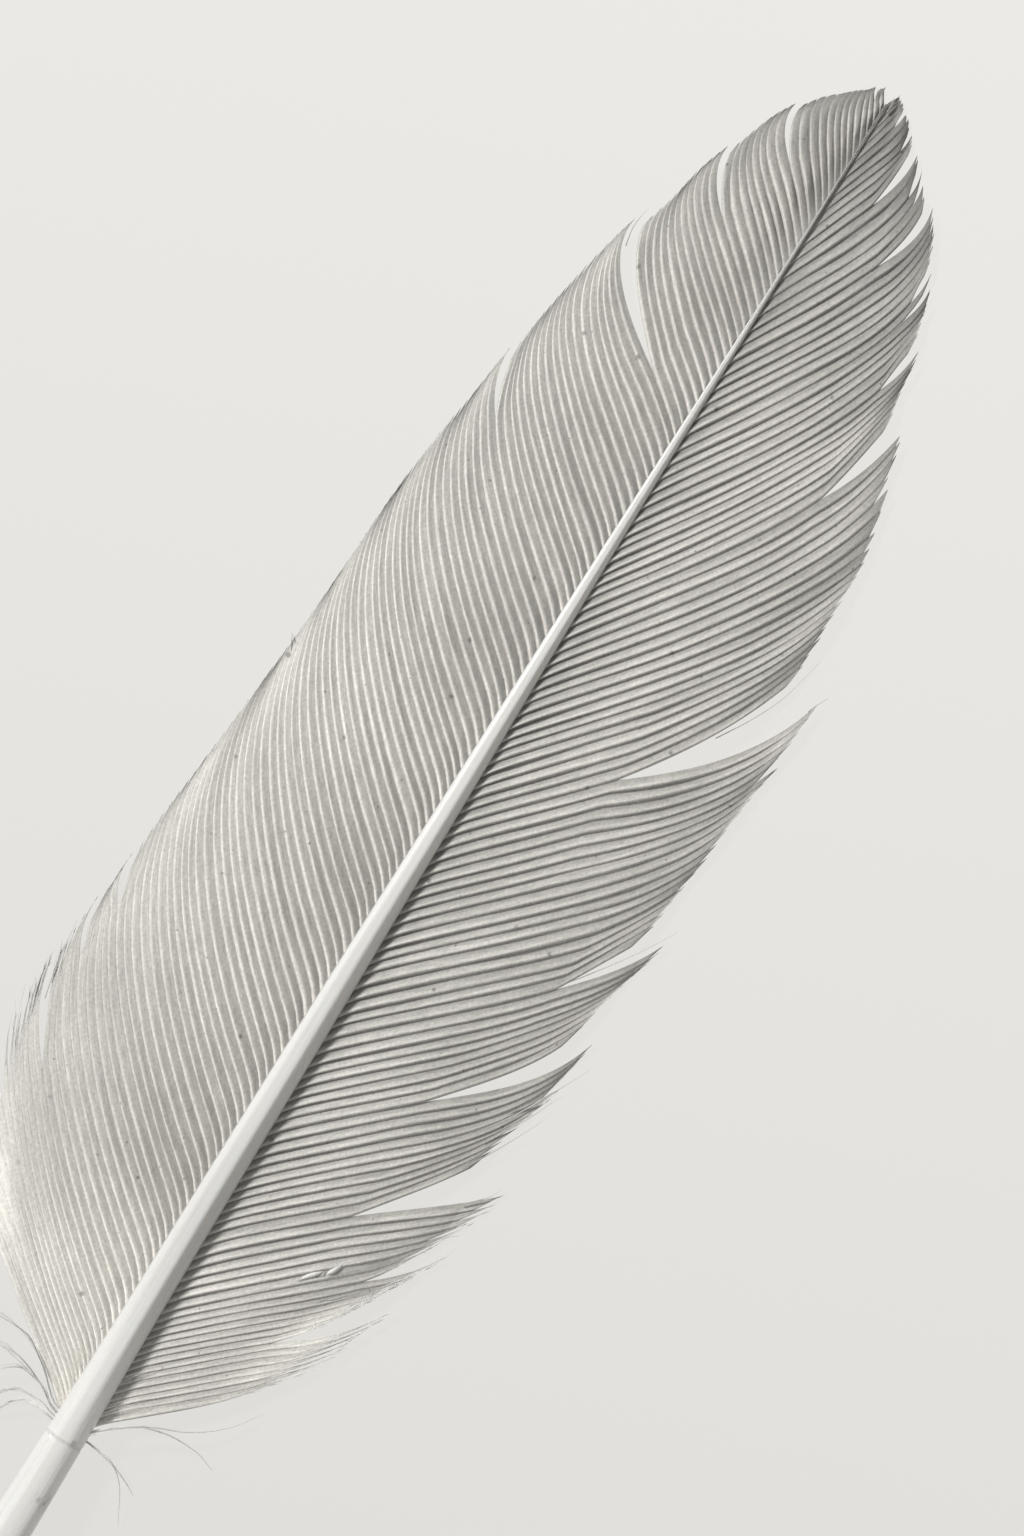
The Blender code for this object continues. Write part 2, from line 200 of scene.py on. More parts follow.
RIGHT = {
    "name": "right",
    "side": -1,
    "seed": 8,
    "last_root": 177.4,
    "spacing": (
        (2, 0.9), (12, 1.15), (20, 1.5), (60, 1.68), (100, 1.72), (120, 1.85), (145, 2.1), (157, 2.25),
        (168, 2.2), (178, 1.9),
    ),
    "margin": (
        (8, 10.5), (11, 13.3), (20, 19.5), (28.5, 22.8), (37, 24.5), (50, 26), (71, 27.8), (100, 28.7),
        (117, 28.2), (133, 26.2), (151, 20.8), (160, 17.6), (170, 12.8), (179, 4.5), (182, 0.8),
    ),
    "root_angle": (
        (2, 50), (12, 47), (26, 45), (55, 46.5), (84.5, 43.5), (111, 37.5), (147, 31), (160, 22), (178, 15),
    ),
    "tip_angle": (
        (2, 37), (12, 38), (26, 33), (45, 23), (60, 19), (84, 19), (111, 13), (147, -9), (157, -9),
        (167, -3), (178, 4),
    ),
    "advance": (
        (2, 17), (7.5, 20.8), (14, 22.3), (26, 25), (55, 30), (84.5, 35.4), (111, 37.4), (133, 32.2),
        (157, 20.1), (163, 15.6), (167, 12.6), (172, 8.8), (178, 3.9),
    ),
    "margin_height": ((0, 1.8), (25, 0.9), (52, 0.3), (78, 0.3), (120, 0.9), (160, 0.8), (182, 0.35)),
    "dip": 0.55,
    "relief": (
        (0, 1.5), (0.05, 1.7), (0.12, 1.3), (0.3, 1.02), (0.5, 0.95), (0.75, 0.78), (0.9, 0.45), (1, 0.2),
    ),
    "pocket_shadow": 0.42,
    "tip_spread": 0,
    "relief_along": ((2, 0.55), (14, 0.85), (30, 1), (140, 1), (178, 0.7)),
    "section": RIGHT_TOP,
    "height": 0.16,
    "narrowing": 0.3,
    "hook": 0.6,
    "whole_until": (
        (2, 0.6), (8, 0.68), (14, 0.78), (20, 0.89), (26, 0.94), (60, 0.965), (90, 0.975), (182, 0.96),
    ),
    "tip_share": ((2, 0.03), (30, 0.06), (110, 0.12), (145, 0.2), (160, 0.45), (182, 0.6)),
    "raggedness": ((2, 0.04), (20, 0.03), (30, 0.01), (60, 0.006), (182, 0.01)),
    "line": ((0, 0.06), (0.5, 0.06), (1, 0.16)),
    # The pale ridge across a barb, partly a painted highlight on the lit slope past the crest
    "ridge": ((0, 0.1), (0.08, 0.6), (0.20, 1), (0.34, 0.85), (0.6, 0.42), (0.85, 0.1), (1, 0)),
    "ridge_gain": 0.5,
    "ridge_along": ((0, 0.8), (0.3, 1), (1, 1)),
    "plain_base": 0,
    "grey_along": (
        (0, 0.60), (0.12, 0.56), (0.3, 0.515), (0.6, 0.50), (0.74, 0.475), (0.86, 0.355), (1, 0.205),
    ),
    # Darker near the shaft: painted shade beside the shaft on the right vane, fading towards the margin
    "grey_and_shade_across": (
        (0, 0.58), (0.05, 0.70), (0.12, 0.84), (0.25, 0.96), (0.5, 1.03), (0.85, 1.07), (1, 0.97),
    ),
    "slits": [Slit(*numbers) for numbers in (
        (8.4, 0.48, 0.3, 0.3, 0.5, 1.5, 7, 0.05, 0.3),
        (15, 0.70, 0.2, 0.4, 0.3, 0.8, 6, 0.05, 0.2),
        (24, 0.43, 0.2, 2.2, 1, 1.9, 11, 0.04, 0.55),
        (33.5, 0.93, 0.1, 0.2, 0.1, 0.3, 5, 0.02, 0.2),
        (40.2, 0.39, 0.3, 0.3, 0.7, 1.5, 12, 0.06, 0.5),
        (53.4, 0.59, 0.2, 1, 0.8, 1, 12, 0.06, 0.5),
        (73, 0.93, 0.05, 0.3, 0.1, 0.2, 6, 0.01, 0.1),
        (82.1, 0.35, 1.4, 2, 0.8, 1.9, 18, -0.004, 0.25),
        (110.5, 0.63, 0.3, 0, 0.6, 1.6, 13, 0.02, 0.5),
        (122.6, 0.76, 0.2, 0.1, 0.4, 0.6, 8, 0, 0.2),
        (130.8, 0.80, 0.1, 0.05, 0.2, 0.35, 6, 0, 0.2),
        (134.7, 0.83, 0.12, 0.05, 0.3, 0.45, 6, 0, 0.2),
        (146.4, 0.54, 0.25, 0.1, 0.35, 0.7, 10, 0.02, 0.35),
        (149.6, 0.86, 0.05, 0.05, 0.2, 0.35, 4, 0, 0.2),
        (153.2, 0.80, 0.1, 0.05, 0.3, 0.5, 6, 0, 0.2),
        (157.4, 0.48, 0.15, 0, 0.5, 0.8, 9, 0, 0.3),
        (163.8, 0.78, 0.05, 0.05, 0.2, 0.35, 5, 0, 0.2),
        (169.5, 0.70, 0.05, 0.05, 0.25, 0.4, 5, 0, 0.2),
    )],
    "fringe": ((2, 2.6), (12, 3), (20, 1.8), (28, 0.8), (60, 0.35), (178, 0.4)),
    "worn": (Worn(16.6, 0.5, -0.06), Worn(12.9, 0.62, 0.05)),
    "fluffy": (7, 12),
    "frayed_until": 16,
}

# Loose barbs and curled down at the foot of the vanes: points along each one. The first four are
# single thick barbs, and each of the others is a curl with finer copies beside it.
LOOSE = (
    ((1, -1.6, 2.4), (1.9, -2.2, 2.5), (5.7, -7.4, 2.3), (6.3, -10.8, 1.8), (6.1, -13.7, 1.2),
     (5.1, -16.4, 0.6)),
    ((1.4, -1.6, 2.4), (2.3, -2.5, 2.5), (5.8, -7.3, 2.2), (7.6, -11.7, 1.6), (10.5, -15.6, 1),
     (14.1, -18.3, 0.5)),
    ((0.6, -1.4, 2.2), (0.7, -2.3, 2.2), (0.3, -5.4, 1.8), (-1.5, -7.9, 1.2), (-6, -10.5, 0.5)),
    ((0.8, -1.4, 2.2), (0.7, -2.4, 2.2), (-0.1, -6.1, 1.6), (-1.2, -8.6, 1), (-2.2, -10.3, 0.5)),
    ((2, 1, 2.4), (2.7, 3.2, 2.6), (5.7, 6.7, 2.6), (7.7, 10.4, 2), (7.7, 13.5, 1.2), (6.4, 16, 0.5)),
    ((1.6, 1, 2.4), (2.2, 3.2, 2.6), (3.9, 6.1, 2.5), (5.1, 9.9, 1.9), (5.1, 11.9, 1.4), (4, 15, 0.5)),
    ((1.4, 1, 2.3), (2, 3.1, 2.6), (3.5, 5.3, 2.5), (4, 8.2, 2), (2.6, 10.4, 1.4), (-0.5, 12.4, 0.5)),
    ((1, 1, 2.3), (1.5, 3, 2.5), (2, 4.9, 2.3), (1.7, 7.3, 1.8), (0.4, 9.1, 1.2), (-2.4, 10.6, 0.5)),
    ((0.6, 1, 2.2), (1, 2.9, 2.4), (1.2, 4.2, 2.2), (1.1, 5.9, 1.8), (-0.2, 7.6, 1.2), (-2.4, 8.6, 0.6)),
)
# Two rolled-up bits of a damaged barb
CURLED = (
    ((29.3, -13.3), (30.2, -14), (31, -14.7), (31.8, -15.4)),
    ((31.3, -15.6), (32.1, -16.1), (33, -16.5), (34.2, -16.9)),
)
# Single hairs that stand out from the vanes
STRAY = (
    ((179.6, -0.6, 0.5), (180.6, -0.6, 0.55), (181.6, -0.4, 0.6)),
    ((73, -20.4, 1.5), (75, -22.1, 1.4), (78.2, -24.5, 1.1), (82.4, -27.4, 0.8), (86.3, -29.7, 0.5)),
    ((115.8, -29.15, 0.6), (116.8, -29.5, 0.6), (117.6, -29.9, 0.6), (118.5, -30.35, 0.55)),
    ((46.4, -24.9, 0.75), (47.9, -26.3, 0.7), (49, -27.3, 0.65), (50.4, -27.9, 0.6)),
    ((107.6, -21.6, 1.5), (111.6, -24, 1.3), (116, -26, 1), (121.5, -27.3, 0.8)),
    ((150.6, 17, 1.15), (152.9, 17.4, 1.1), (154.3, 17.3, 1), (155.7, 17, 0.9)),
    ((43.5, 28.9, 1), (47.5, 29.7, 0.8), (51.2, 30.2, 0.6)),
    ((39, 28.9, 1.1), (42.5, 30.1, 0.9), (46.1, 30.8, 0.6)),
    ((35, 28.6, 1.2), (38.5, 30.3, 0.9), (41.7, 31.4, 0.6)),
    ((32.5, 28.2, 1.2), (35.6, 30, 0.9), (38.5, 31.1, 0.6)),
    ((41.5, 28.6, 1), (45, 29.4, 0.8), (48.6, 30, 0.6)),
    ((57.5, -23.6, 0.9), (62.6, -26.9, 0.7), (67.2, -29.3, 0.5)),
    ((53.8, -23.4, 0.9), (58.8, -26.2, 0.7), (63.2, -28.2, 0.5)),
    ((50.6, -23.2, 0.9), (55.6, -25.9, 0.7), (59.9, -28, 0.5)),
)
# The small tuft on the left margin
TUFT = (
    ((89.6, 24.8, 0.4), (90.9, 25.6, 0.5), (92.5, 26.5, 0.55)),
    ((90.2, 24.8, 0.4), (91.5, 25.5, 0.5), (92.3, 26.2, 0.5)),
)

# How many hairs there are, and their radii. A pair is the foot's radius and the end's, but
# CURL_RADIUS is the range for a curl's foot.
SINGLE_LOOSE = 4
CURL_COPIES = 4
LOOSE_POINTS = 22
BARBULES_PER_LOOSE = 6
FRINGE_PER_BARB = 6
FRAYED_PER_BARB = 22
FOOT_HAIRS = 40
LOOSE_RADIUS = 0.19
CURL_RADIUS = (0.07, 0.12)
STRAY_RADIUS = 0.09
TUFT_RADIUS = 0.18
HAIR_RADII = (0.035, 0.01)
FRAYED_RADII = (0.03, 0.01)
BARBULE_RADII = (0.022, 0.01)
LOWEST_HAIR = 0.02

# The corner and the size of the map from above, which holds the whole feather
MAP_CORNER = (60, 95)
MAP_SIZE = 260

# Shades. Across a barb: a painted shadow line where two barbs meet, and the painted shadow between two
# ridges at the root
SEAM_SHADOW = ((0, 1), (0.04, 0.5), (0.08, 0), (0.95, 0), (1, 1))
POCKET = ((0, 1), (0.08, 0.4), (0.14, 0), (0.34, 0), (0.60, 0.8), (0.8, 1), (1, 1))
# Painted light and shade round the shaft, from its underside over the left side: darker underneath
# and up the left side, lightest over the top and the right shoulder. For the rachis, and the bare quill
RACHIS_PAINTED_SHADE = (
    (0, 0.5), (0.16, 0.5), (0.19, 0.55), (0.24, 0.86), (0.38, 0.93), (0.48, 1), (0.62, 1),
    (0.72, 1), (0.86, 0.9),
)
QUILL_PAINTED_SHADE = (
    (0, 0.54), (0.14, 0.6), (0.24, 0.62), (0.30, 0.67), (0.35, 0.76), (0.40, 0.85), (0.44, 0.82),
    (0.5, 0.83), (0.6, 0.86), (0.66, 0.98), (0.70, 0.96), (0.74, 0.86), (0.86, 0.74),
)
QUILL_GAIN = 1.3
# Along the feather: the shaft and the down
SHAFT_GREY = ((0, 0.80), (0.5, 0.80), (0.70, 0.76), (0.80, 0.64), (0.88, 0.46), (0.94, 0.33), (1, 0.26))
DOWN_GREY = ((0, 0.95), (0.1, 0.85), (0.25, 0.72), (0.4, 0.62), (0.8, 0.55), (1, 0.42))
WARM = (1, 0.968, 0.905)
HORN_TINT = (1, 0.992, 0.965)
DOWN_TINT = (1, 0.982, 0.945)
# Dark spots on the margins: place, radius and strength. The first is a small dark mark by the tuft on
# the left margin, the second painted shade over a lock's tip on the right margin
MARGIN_SPOTS = (((90, 25.45), 0.5, 1), ((116, -28.8), 6, 0.3))

# The stage, in metres, and the paper's own light: how it changes along +X and +Y a millimetre,
# between which limits, and its value at the feather's foot
FLOOR_HALF = 5
GLOW_SLOPE = (0.0004, 0.0001)
GLOW_LIMITS = (-0.06, 0.09)
GLOW = 0.7125
KEY_PLACE = (0.40, 1.10, 0.72)
KEY_TARGET = (0.08, 0, 0)
KEY_SIZE = 0.22
KEY_POWER = 19

# The camera follows the photo: its height in pixels, the millimetres a pixel shows, the lens and the
# sensor, the height over the table at which that scale holds, the place in the picture's middle and
# the turn about +Z
PHOTO_HEIGHT = 1536
PIXEL = 0.115
LENS = 85
SENSOR = 36
SCALE_HEIGHT = 2.5
PICTURE_MIDDLE = (92.4, -3.4)
CAMERA_TURN = math.radians(58.3986)


def along(points, place):
    """The smooth curve through the points, with no overshoot, at each place."""
    xs, ys = np.array(points, float).T
    place = np.clip(place, xs[0], xs[-1])
    run, rise = np.diff(xs), np.diff(ys)
    slopes = rise / run
    before, after = slopes[:-1], slopes[1:]
    total = before + after
    inner = np.where(before * after > 0, 2 * before * after / np.where(total == 0, 1, total), 0)
    slope = np.concatenate([slopes[:1], inner, slopes[-1:]])
    i = np.clip(np.searchsorted(xs, place, side="right") - 1, 0, len(xs) - 2)
    s = (place - xs[i]) / run[i]
    return (
        (1 + 2 * s) * (1 - s) ** 2 * ys[i]
        + s * (1 - s) ** 2 * run[i] * slope[i]
        + s * s * (3 - 2 * s) * ys[i + 1]
        + s * s * (s - 1) * run[i] * slope[i + 1]
    )


def waves(seed, x, y):
    """A smooth, repeatable unevenness between about -1 and 1."""
    rng = np.random.default_rng(seed)
    total = 0
    for _ in range(WAVE_COUNT):
        fx, fy, phase = rng.uniform(-1, 1), rng.uniform(-1, 1), rng.uniform(0, FULL_TURN)
        total = total + np.sin(FULL_TURN * (fx * x + fy * y) + phase)
    return total / (WAVE_COUNT / 2)


def unit(vectors):
    """The same directions, each of length 1."""
    return vectors / (np.linalg.norm(vectors, axis=-1, keepdims=True) + 1e-9)


def level_across(ahead):
    """Level and square to each direction ahead."""
    return np.stack([-ahead[..., 1], ahead[..., 0], np.zeros(ahead.shape[:-1])], -1)


def shaft_radius(x):
    """Half the shaft's width at a distance along the feather."""
    return along(SHAFT_WIDTH, x) / 2


def shaft_side(x):
    """How far the feather's middle bows to the left."""
    return SIDEWAYS_BOW * np.sin(math.pi * np.clip(x, 0, VANE_LENGTH) / VANE_LENGTH)


def shaft_aside(x):
    """How far the shaft lies to the right of the middle between the two margins."""
    return along(SHAFT_ASIDE, x)


def shaft_height(x):
    """The height of the shaft's axis over the table."""
    return along(UNDERSIDE_HEIGHT, x) + FLAT_DEPTH * shaft_radius(x)


def barb_curve(vane, root, t):
    """A barb leaves the shaft straight and sweeps round to meet the margin at its own angle.

    Returns the point and the direction across the barb, towards the feather's tip.
    """
    furthest = 0.99 * VANE_LENGTH + 0.01 * root
    tip = np.minimum(root + along(vane["advance"], root), furthest)
    start = np.stack(np.broadcast_arrays(root, 0.3 * shaft_radius(root)), -1)
    end = np.stack(np.broadcast_arrays(tip, along(vane["margin"], tip)), -1)
    length = np.linalg.norm(end - start, axis=-1)[..., None]
    leaving = np.radians(along(vane["root_angle"], root))
    arriving = np.radians(along(vane["tip_angle"], root))
    near = start + STRAIGHT_SHARE * length * np.stack([np.cos(leaving), np.sin(leaving)], -1)
    far = end - SWEEP_SHARE * length * np.stack([np.cos(arriving), np.sin(arriving)], -1)
    t = t[..., None]
    point = (1 - t) ** 3 * start + 3 * t * (1 - t) ** 2 * near + 3 * t * t * (1 - t) * far + t**3 * end
    ahead = unit((1 - t) ** 2 * (near - start) + 2 * t * (1 - t) * (far - near) + t * t * (end - far))
    return point, np.stack([ahead[..., 1], -ahead[..., 0]], -1)


def placed(vane, root, t, middle):
    """Points of the barbs after the slits have bent them aside. middle is the barb's own root."""
    slits = vane["slits"]
    fades = []
    for slit in slits:
        fade = np.clip(1 - np.abs(root - slit.root) / slit.fades_over, 0, None)
        fade = fade * fade * (3 - 2 * fade)
        fades.append(np.where(middle < slit.root, -fade, fade))
    below = [np.clip(-fade, 0, None) for fade in fades]
    longer = sum(slit.reach * fade for slit, fade in zip(slits, below))
    gathered = sum(slit.gather * fade * (slit.root - root) for slit, fade in zip(slits, below))
    drift = BARB_DRIFT * waves(vane["seed"], root / 9, t * 1.3) * t
    point, across = barb_curve(vane, root + drift + gathered * t**3, t * (1 + longer))
    for slit, fade in zip(slits, fades):
        opened = np.clip(t - slit.opens_at, 0, None) / (1 - slit.opens_at)
        half_way = np.where(fade < 0, slit.below_half_way, slit.above_half_way)
        end = np.where(fade < 0, slit.below_end, slit.above_end)
        bend = fade * (half_way * 4 * opened * (1 - opened) + end * opened**2)
        point = point + bend[..., None] * across
    radius = shaft_radius(point[..., 0])
    outside = np.clip(point[..., 1] - 0.8 * radius, 0, None)
    hook = vane["hook"] * np.clip(radius / 1.3, 0, 1) * np.exp(-outside / ROOT_HOOK_LENGTH)
    return point - np.stack([hook, np.zeros_like(hook)], -1)


def on_vane(vane, x, y):
    """The drooping surface of a vane: how far to the side, and how high."""
    root_height = shaft_height(x)
    share = np.minimum(y / along(vane["margin"], x), 1)
    height = root_height - (root_height - along(vane["margin_height"], x)) * share**DROOP_POWER
    radius = shaft_radius(x)
    outside = np.clip(y - 0.7 * radius, 0, None)
    height = height - vane["dip"] * np.clip(radius / 1.5, 0.1, 1) * np.exp(-outside / (0.8 + radius))
    aside = shaft_aside(x) * np.exp(-np.clip(y, 0, None) / ASIDE_FADES_OVER)
    return shaft_side(x) - aside + vane["side"] * y, height


def plan_barbs(vane):
    """Where the barbs grow and how far they reach, a little unevenly."""
    rng = np.random.default_rng(vane["seed"])
    roots = [FIRST_ROOT]
    while roots[-1] < vane["last_root"]:
        roots.append(roots[-1] + float(along(vane["spacing"], roots[-1])) * rng.uniform(0.85, 1.15))
    roots = np.array([root for root in roots if root < LAST_ROOT])
    edges = np.concatenate([[roots[0] - 0.5], roots[:-1] * 0.1 + roots[1:] * 0.9, [roots[-1] + 0.9]])
    count = len(roots)
    return {
        "root": roots,
        "low": edges[:-1],
        "width": np.diff(edges),
        "reach": 1 + rng.normal(0, 1, count) * along(vane["raggedness"], roots),
        "whole": np.clip(along(vane["whole_until"], roots) + rng.normal(0, 0.015, count), 0.2, 0.99),
        "tip_share": along(vane["tip_share"], roots),
        "strength": along(vane["relief_along"], roots) * np.clip(1 + rng.normal(0, 0.08, count), 0.7, 1.3),
        "lift": rng.normal(0, 0.012, count),
    }


def nearest_barb(barbs, root):
    """The number of the barb that grows nearest to a place on the shaft."""
    return int(np.argmin(np.abs(barbs["root"] - root)))


def barb_surface(vane, barbs, i, phase, t):
    """A place on barb i: phase runs across its share of the vane, t from the shaft to its tip."""
    i, phase, t = np.broadcast_arrays(i, phase, t)
    middle = barbs["root"][i]
    steps = t * barbs["reach"][i]
    root = barbs["low"][i] + barbs["width"][i] * (phase + OVERLAP)
    point = placed(vane, root, steps, middle)
    spine = placed(vane, middle, steps, middle)
    low = placed(vane, barbs["low"][i], steps, middle)
    high = placed(vane, barbs["low"][i] + barbs["width"][i], steps, middle)
    ahead = placed(vane, middle, steps + 0.01, middle) - spine
    spread = np.abs(np.cross(ahead, high - low)) / np.linalg.norm(ahead, axis=-1)
    taper = np.clip((t - barbs["whole"][i]) / (1 - barbs["whole"][i]), 0, 1) ** TAPER_POWER
    tapered = 1 - (1 - barbs["tip_share"][i]) * taper
    widest = BARB_WIDTH * along(WIDER_NEAR_TIP, middle) * tapered
    narrow = np.minimum(tapered, widest / np.maximum(spread, 0.01))
    point = high + (point - high) * narrow[..., None]
    side, height = on_vane(vane, point[..., 0], point[..., 1])
    wave = VANE_WAVE * waves(vane["seed"] + 9, root / 11, steps * 1.5) * steps
    height = height + wave + barbs["lift"][i] * np.clip(t * 6, 0, 1) + 0.05
    return np.stack([point[..., 0], side, height], -1)


def make_object(name, points, faces, uv=None):
    """A mesh from points in millimetres, with a map from above for textures."""
    points = np.asarray(points, float)
    mesh = bpy.data.meshes.new(name)
    mesh.from_pydata(points * MM, [], [face for group in faces for face in group.tolist()])
    flat = np.concatenate([group.ravel() for group in faces])
    from_above = (points[:, :2] + MAP_CORNER) / MAP_SIZE
    for layer_name, layout in {"OFBake": from_above, **(uv or {})}.items():
        layer = mesh.uv_layers.new(name=layer_name)
        layer.uv.foreach_set("vector", np.asarray(layout)[flat].astype(np.float32).ravel())
    mesh.update()
    mesh.validate()
    mesh.shade_smooth()
    mesh.set_sharp_from_angle(angle=math.radians(75))
    obj = bpy.data.objects.new(name, mesh)
    bpy.context.scene.collection.objects.link(obj)
    return obj


def barb_relief(vane, barbs, i, t, width):
    """How strongly the section of each barb stands out along its length, against its width."""

    def by_root(stops):
        """A value for each barb, read against its root's place along the feather."""
        return along(stops, barbs["root"])[i]

    strength = width * barbs["strength"][i] * along(vane["relief"], t)
    for worn in vane["worn"]:
        flattened = np.clip((t[0] - worn.start) / WORN_EDGE, 0, 1)
        strength[nearest_barb(barbs, worn.root)] *= 1 - 0.65 * flattened
    uneven = 1 + 0.22 * waves(vane["seed"] + 7, i * 0.61, t * 4)
    fluff = np.clip(t * 4 - 1.6, 0, 1) * np.clip((vane["fluffy"][1] - i) / 3, 0, 1)
    at_root = (1 - np.clip(t / 0.2, 0, 1)) * by_root(((120, 0), (162, 0.78)))
    plain = vane["plain_base"] * np.clip(t * 3 - 0.5, 0, 1) * by_root(((20, 1), (75, 0)))
    at_end = np.clip((t - 0.6) / 0.3, 0, 1) * by_root(NEAR_TIP)
    return strength * uneven * (1 - 0.6 * fluff) * (1 - at_root) * (1 - plain) * (1 - 0.65 * at_end)


def tube_faces(many, rows, sides, turned):
    """Closed tubes whose points follow row by row, and in each row once round the tube."""
    index = np.arange(many * rows * sides).reshape(many, rows, sides)
    following = np.roll(index, -1, axis=2)
    quads = np.stack([index[:, :-1], following[:, :-1], following[:, 1:], index[:, 1:]], -1)
    faces = [quads.reshape(-1, 4), index[:, 0, ::-1], index[:, -1]]
    return [group[:, ::-1] for group in faces] if turned else faces


def build_vane(vane, barbs):
    """Every barb with its barbules as one closed strip, side by side with its neighbours."""
    count, rows = len(barbs["root"]), BARB_ROWS
    places, heights = np.array(vane["section"] + BARB_UNDER).T
    columns, last_on_top = len(places), len(vane["section"]) - 1
    i = np.arange(count)[:, None, None]
    t = (np.linspace(0, 1, rows) ** 0.95)[None, :, None]
    inner = np.clip((END_PHASE - places) * (places + OVERLAP) * 3.6, 0, None)
    phase = places + 0.07 * inner * waves(vane["seed"] + 5, i * 0.37, t * 2.6)
    points = barb_surface(vane, barbs, i, phase, t)
    crest = points[:, :, CREST_COLUMN]
    ahead = np.gradient(crest[..., :2], axis=1)
    over = points[:, :, last_on_top, :2] - points[:, :, 0, :2]
    width = np.abs(np.cross(ahead, over) / np.linalg.norm(ahead, axis=-1))
    width = np.clip(width, *WIDTH_LIMITS)[..., None]
    near_tip = along(NEAR_TIP, barbs["root"])[i]
    narrowing = vane["narrowing"] * t * (1 - near_tip) - vane["tip_spread"] * near_tip
    narrower = np.where(heights > 0, np.abs(heights) ** (1 + narrowing), heights)
    points[..., 2] += narrower * vane["height"] * barb_relief(vane, barbs, i, t, width)
    points[..., 2] = np.maximum(points[..., 2], np.where(heights < 0, LOWEST_UNDER, LOWEST_TOP))
    faces = tube_faces(count, rows, columns, turned=vane["side"] < 0)
    lengths = np.cumsum(np.linalg.norm(np.diff(crest, axis=1), axis=-1), axis=1)
    lengths = np.concatenate([np.zeros((count, 1)), lengths], 1)[..., None]
    shape = points.shape[:3]
    uv = {
        "barb": uv_layout(shape, t, i + places + OVERLAP),
        "strand": uv_layout(shape, lengths, width),
    }
    return make_object("vane_" + vane["name"], points.reshape(-1, 3), faces, uv)


def uv_layout(shape, u, v):
    """One pair of numbers for each point of a grid of this shape."""
    return np.stack([np.broadcast_to(u, shape), np.broadcast_to(v, shape)], -1).reshape(-1, 2)


def build_shaft():
    """The quill and rachis."""
    stations = [np.linspace(-52, -44, 18), np.linspace(-43.5, 180.4, 190)]
    stations += [place + half * np.linspace(-2, 2, 9) for place, _, half in SHAFT_RINGS]
    x = np.unique(np.concatenate(stations).round(3))[:, None]
    section = np.array(SHAFT_SECTION)
    radius = shaft_radius(x)
    carved = 1 - sum(depth * np.exp(-(((x - place) / half) ** 2)) for place, depth, half in SHAFT_RINGS)
    wave = 1 + 0.012 * waves(21, x / 30, np.arange(len(section)) * 0.13)
    y = shaft_side(x) - shaft_aside(x) + radius * section[:, 0] * carved * wave
    ridged = along(RIDGED_FROM, x)
    upward = section[:, 1] * (1 - ridged) + section[:, 2] * ridged
    round_and_uneven = np.where(upward > 0, upward * carved * wave, upward)
    z = shaft_height(x) + along(SHAFT_LIFT, x) + radius * round_and_uneven
    points = np.stack([np.broadcast_to(x, y.shape), y, z], -1).reshape(-1, 3)
    rows, columns = y.shape
    share = np.tile(np.arange(columns) / columns, rows)
    uv = {"around": np.stack([points[:, 0] / 100, share], -1)}
    return make_object("shaft", points, tube_faces(1, rows, columns, turned=False), uv)


def smooth_path(points, count):
    """Points evenly spread along the smooth curve through the given ones."""
    points = np.asarray(points, float)
    knots = np.arange(len(points))
    place = np.linspace(0, len(points) - 1, count)
    return np.stack([along(np.stack([knots, points[:, axis]], -1), place) for axis in range(3)], -1)


def hair_tubes(paths, thick, thin, bulge=0.0, sides=3):
    """Thin tubes along the paths, all with as many points, from the radius thick to the radius thin."""
    paths = np.asarray(paths, float)
    many, rows, _ = paths.shape
    ahead = unit(np.gradient(paths, axis=1))
    side = unit(np.cross(ahead, (0, 0, 1.0)))
    up = np.cross(side, ahead)
    share = np.linspace(0, 1, rows)[None, :]
    radius = np.reshape(thick, (-1, 1)) * (1 - share) + thin * share
    radius = radius + bulge * np.sin(share * math.pi)
    angles = FULL_TURN * (np.arange(sides) / sides + 0.25)
    ring = side[:, :, None] * np.cos(angles)[:, None] + up[:, :, None] * np.sin(angles)[:, None]
    points = paths[:, :, None] + radius[..., None, None] * ring
    points[..., 2] = np.maximum(points[..., 2], LOWEST_HAIR)
    return points.reshape(-1, 3), tube_faces(many, rows, sides, turned=True)


def join(groups):
    """One set of points and faces from several."""
    points, faces = [], []
    start = 0
    for more, parts in groups:
        points.append(more)
        faces += [part + start for part in parts]
        start += len(more)
    return np.concatenate(points), faces


def margin_fringe(vane, barbs, rng):
    """Fine hairs that carry the barbs on past the margin."""
    i = np.repeat(np.arange(len(barbs["root"])), FRINGE_PER_BARB)
    phase = rng.uniform(-0.08, 0.92, len(i))
    end = barb_surface(vane, barbs, i, phase, 0.99)
    before = barb_surface(vane, barbs, i, phase, 0.93)
    ahead = unit((end - before) * (1, 1, 0))
    length = along(vane["fringe"], barbs["root"][i]) * rng.uniform(0.15, 1, len(i)) ** 1.6
    turn = rng.normal(0, 0.12, len(i))[:, None]
    share = np.linspace(0, 1, 5)[None, :, None]
    reach = length[:, None, None] * share
    path = end[:, None] + reach * (ahead[:, None] + share * (turn * level_across(ahead))[:, None])
    path[..., 2] -= 0.25 * reach[..., 0] * share[..., 0]
    return hair_tubes(path, *HAIR_RADII)


